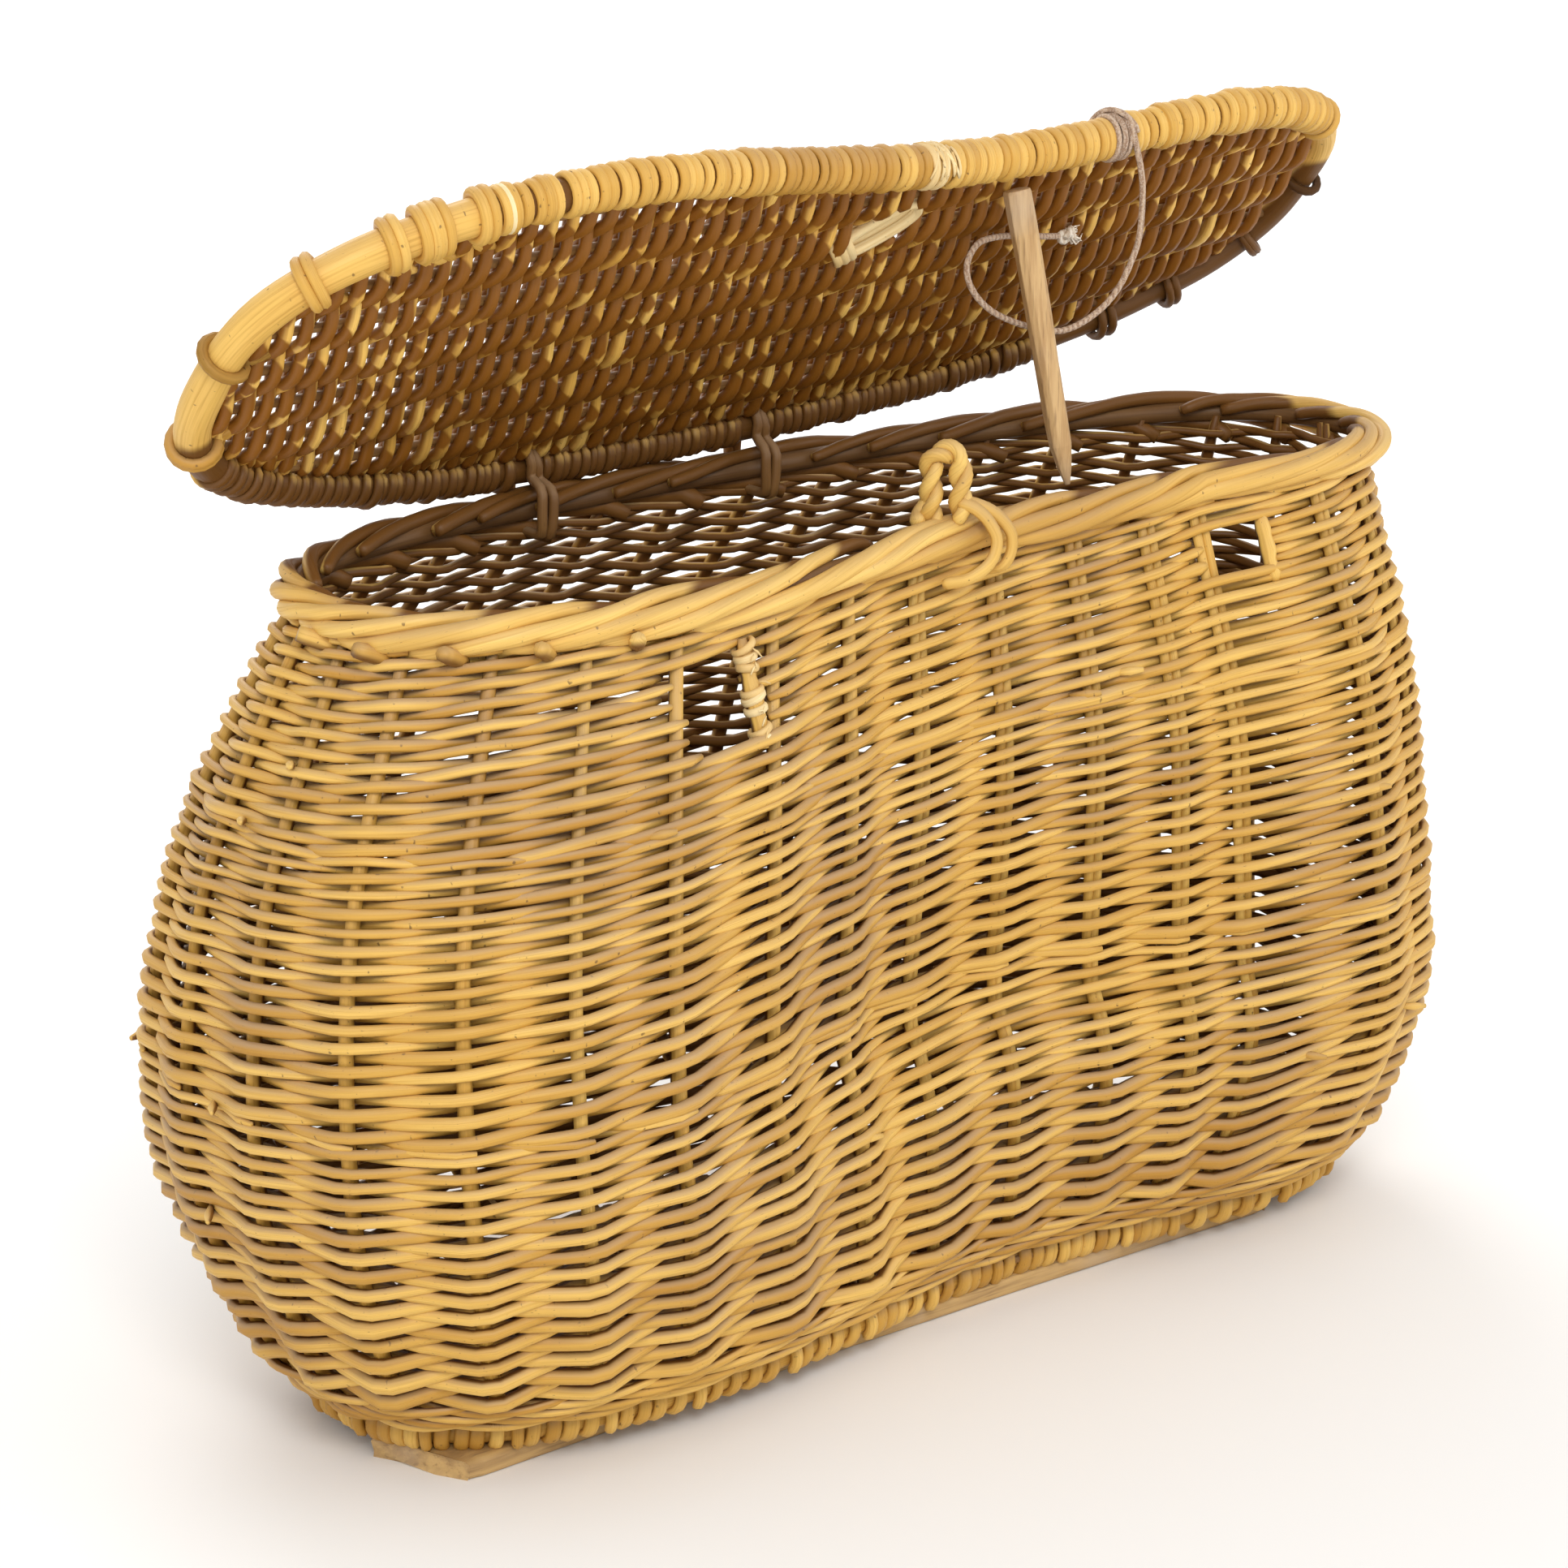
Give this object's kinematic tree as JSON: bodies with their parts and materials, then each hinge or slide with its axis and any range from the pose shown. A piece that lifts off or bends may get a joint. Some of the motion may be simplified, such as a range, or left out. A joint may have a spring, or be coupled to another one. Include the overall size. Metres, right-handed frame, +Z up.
{
  "type": "laundry hamper with lid",
  "caption": "Kidney-shaped willow hamper with a bellied wall, hinged wicker lid propped open on a whittled peg, closure loop, slotted lid, hand holes and runners.",
  "frame": {"origin": "centre of the bounding box at floor level, under the runners", "axes": "+Z up, +X along the long side toward the right end, -Y toward the pushed-in front"},
  "size_m": [0.6354, 0.3137, 0.5284],
  "materials": {
    "willow": "peeled willow, satin",
    "willow_brown": "aged willow, matte",
    "willow_pale": "peeled willow, satin",
    "plain_wood": "bare wood, matte",
    "twine": "dusty hemp"
  },
  "bodies": {
    "basket": {"bottom_wale": "willow", "lower_siding": "willow", "middle_siding": "willow", "upper_siding": "willow", "top_wale": "willow", "stake_01": "willow_brown", "stake_02": "willow_brown", "stake_03": "willow_brown", "stake_04": "willow_brown", "stake_05": "willow_brown", "stake_06": "willow_brown", "stake_07": "willow_brown", "stake_08": "willow_brown", "stake_09": "willow_brown", "stake_10": "willow_brown", "stake_11": "willow_brown", "stake_12": "willow_brown", "stake_13": "willow_brown", "stake_14": "willow_brown", "stake_15": "willow_brown", "stake_16": "willow_brown", "stake_17": "willow_brown", "stake_18": "willow_brown", "stake_19": "willow_brown", "stake_20": "willow_brown", "stake_21": "willow_brown", "stake_22": "willow_brown", "stake_23": "willow_brown", "stake_24": "willow_brown", "stake_25": "willow_brown", "stake_26": "willow_brown", "stake_27": "willow_brown", "stake_28": "willow_brown", "stake_29": "willow_brown", "stake_30": "willow_brown", "stake_31": "willow_brown", "stake_32": "willow_brown", "hand_post_left": "willow_pale", "hand_post_right": "willow_pale", "border": "willow", "base_hoop": "willow", "base_weave": "willow_brown", "base_rib_1": "willow_brown", "base_rib_2": "willow_brown", "runner_front": "plain_wood", "runner_rear": "plain_wood", "closure_loop": "willow", "hinge_loop_left": "willow_brown", "hinge_loop_right": "willow_brown"},
    "lid": {"lid_hoop": "willow", "lid_weave": "willow_brown", "lid_rib_1": "willow_brown", "lid_rib_2": "willow_brown", "lid_rib_3": "willow_brown", "lid_rib_4": "willow_brown", "slot_binding": "willow_pale", "twine_wrap": "twine", "twine_knot": "twine", "twine": "twine"},
    "peg": {"peg": "plain_wood"}
  },
  "joints": [
    {"name": "lid_hinge", "type": "hinge", "parent": "basket", "child": "lid", "pos_m": [-0.0406, 0.0629, 0.3821], "axis": [-0.999, -0.0454, 0], "range_deg": [-46.5, 8], "deforming": ["twine"]},
    {"name": "peg_slide", "type": "slide", "parent": "lid", "child": "peg", "axis": [0.0313, 0.6877, -0.7254], "range_m": [-0.0075, 0.0425]}
  ],
  "couplings": [
    {"joint": "peg_slide", "follows": "lid_hinge", "m_per_rad": -0.0515}
  ]
}
